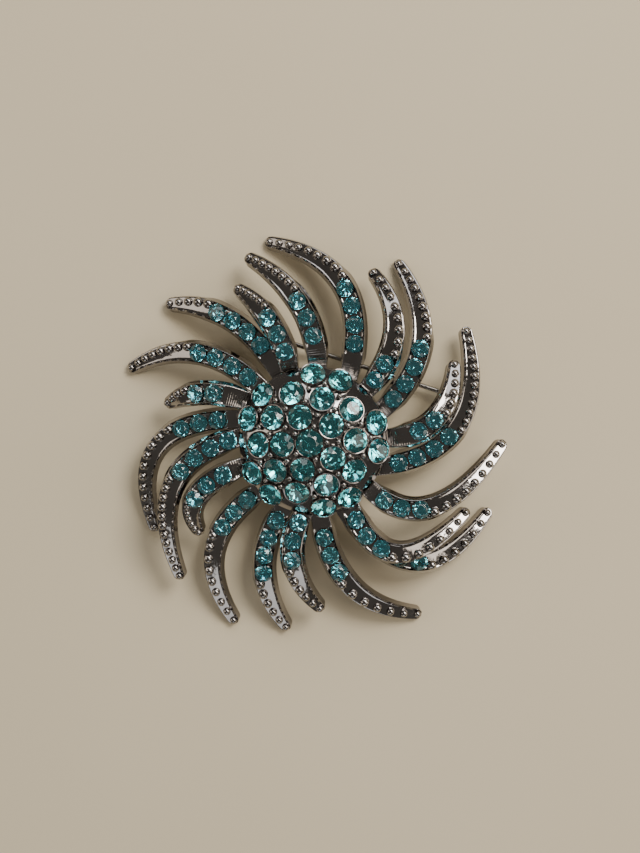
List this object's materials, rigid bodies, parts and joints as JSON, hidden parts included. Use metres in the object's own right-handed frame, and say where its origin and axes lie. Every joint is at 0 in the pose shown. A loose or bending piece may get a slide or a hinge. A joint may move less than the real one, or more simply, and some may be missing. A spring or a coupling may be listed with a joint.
{
  "type": "brooch",
  "caption": "Swirl brooch: overlapping tiers of curved tapering arms set with round stones, around a raised dome paved with stones; hinged pin and turning lock on the back.",
  "frame": {"origin": "on the dome's axis, on the flat surface that the arm tips rest on", "axes": "+Z out of the face, +Y up as worn, +X to the right seen from the front"},
  "size_m": [0.0663, 0.0694, 0.0161],
  "materials": {
    "cast_gunmetal": "cast zinc alloy, polished and plated in dark gunmetal",
    "arm_stone_glass": "faceted teal glass with a foiled back",
    "dome_stone_glass": "faceted sea-green glass with a foiled back",
    "finding_metal": "stamped brass, plated dark, soldered on",
    "pin_steel": "drawn steel wire, dark plated"
  },
  "bodies": {
    "brooch": {"lower_hub": "cast_gunmetal", "upper_hub": "cast_gunmetal", "dome": "cast_gunmetal", "centre_rivet": "pin_steel", "lower_arm_01": "cast_gunmetal", "upper_arm_02": "cast_gunmetal", "upper_arm_03": "cast_gunmetal", "lower_arm_04": "cast_gunmetal", "lower_arm_05": "cast_gunmetal", "upper_arm_06": "cast_gunmetal", "lower_arm_07": "cast_gunmetal", "upper_arm_08": "cast_gunmetal", "upper_arm_09": "cast_gunmetal", "lower_arm_10": "cast_gunmetal", "lower_arm_11": "cast_gunmetal", "upper_arm_12": "cast_gunmetal", "lower_arm_13": "cast_gunmetal", "upper_arm_14": "cast_gunmetal", "lower_arm_15": "cast_gunmetal", "upper_arm_16": "cast_gunmetal", "lower_arm_17": "cast_gunmetal", "upper_arm_18": "cast_gunmetal", "lower_arm_19": "cast_gunmetal", "upper_arm_20": "cast_gunmetal", "lower_arm_01_stones": "arm_stone_glass", "upper_arm_02_stones": "arm_stone_glass", "upper_arm_03_stones": "arm_stone_glass", "lower_arm_04_stones": "arm_stone_glass", "lower_arm_05_stones": "arm_stone_glass", "upper_arm_06_stones": "arm_stone_glass", "lower_arm_07_stones": "arm_stone_glass", "upper_arm_08_stones": "arm_stone_glass", "upper_arm_09_stones": "arm_stone_glass", "lower_arm_10_stones": "arm_stone_glass", "lower_arm_11_stones": "arm_stone_glass", "upper_arm_12_stones": "arm_stone_glass", "lower_arm_13_stones": "arm_stone_glass", "upper_arm_14_stones": "arm_stone_glass", "lower_arm_15_stones": "arm_stone_glass", "upper_arm_16_stones": "arm_stone_glass", "lower_arm_17_stones": "arm_stone_glass", "upper_arm_18_stones": "arm_stone_glass", "lower_arm_19_stones": "arm_stone_glass", "upper_arm_20_stones": "arm_stone_glass", "centre_stone": "dome_stone_glass", "inner_ring_stones": "dome_stone_glass", "middle_ring_stones": "dome_stone_glass", "outer_ring_stones": "dome_stone_glass", "pin_joint": "finding_metal", "joint_rivet": "pin_steel", "pin_catch": "finding_metal"},
    "pin": {"pin_stem": "pin_steel"},
    "lock": {"catch_lock": "pin_steel"}
  },
  "joints": [
    {"name": "pin_hinge", "type": "hinge", "parent": "brooch", "child": "pin", "pos_m": [-0.01191, 0.01877, 0.0022], "axis": [0.3075, 0.9515, 0], "range_deg": [0, 90]},
    {"name": "lock_turn", "type": "hinge", "parent": "brooch", "child": "lock", "pos_m": [0.02621, 0.00645, 0.0022], "axis": [-0.9515, 0.3075, 0], "range_deg": [0, 110]}
  ]
}
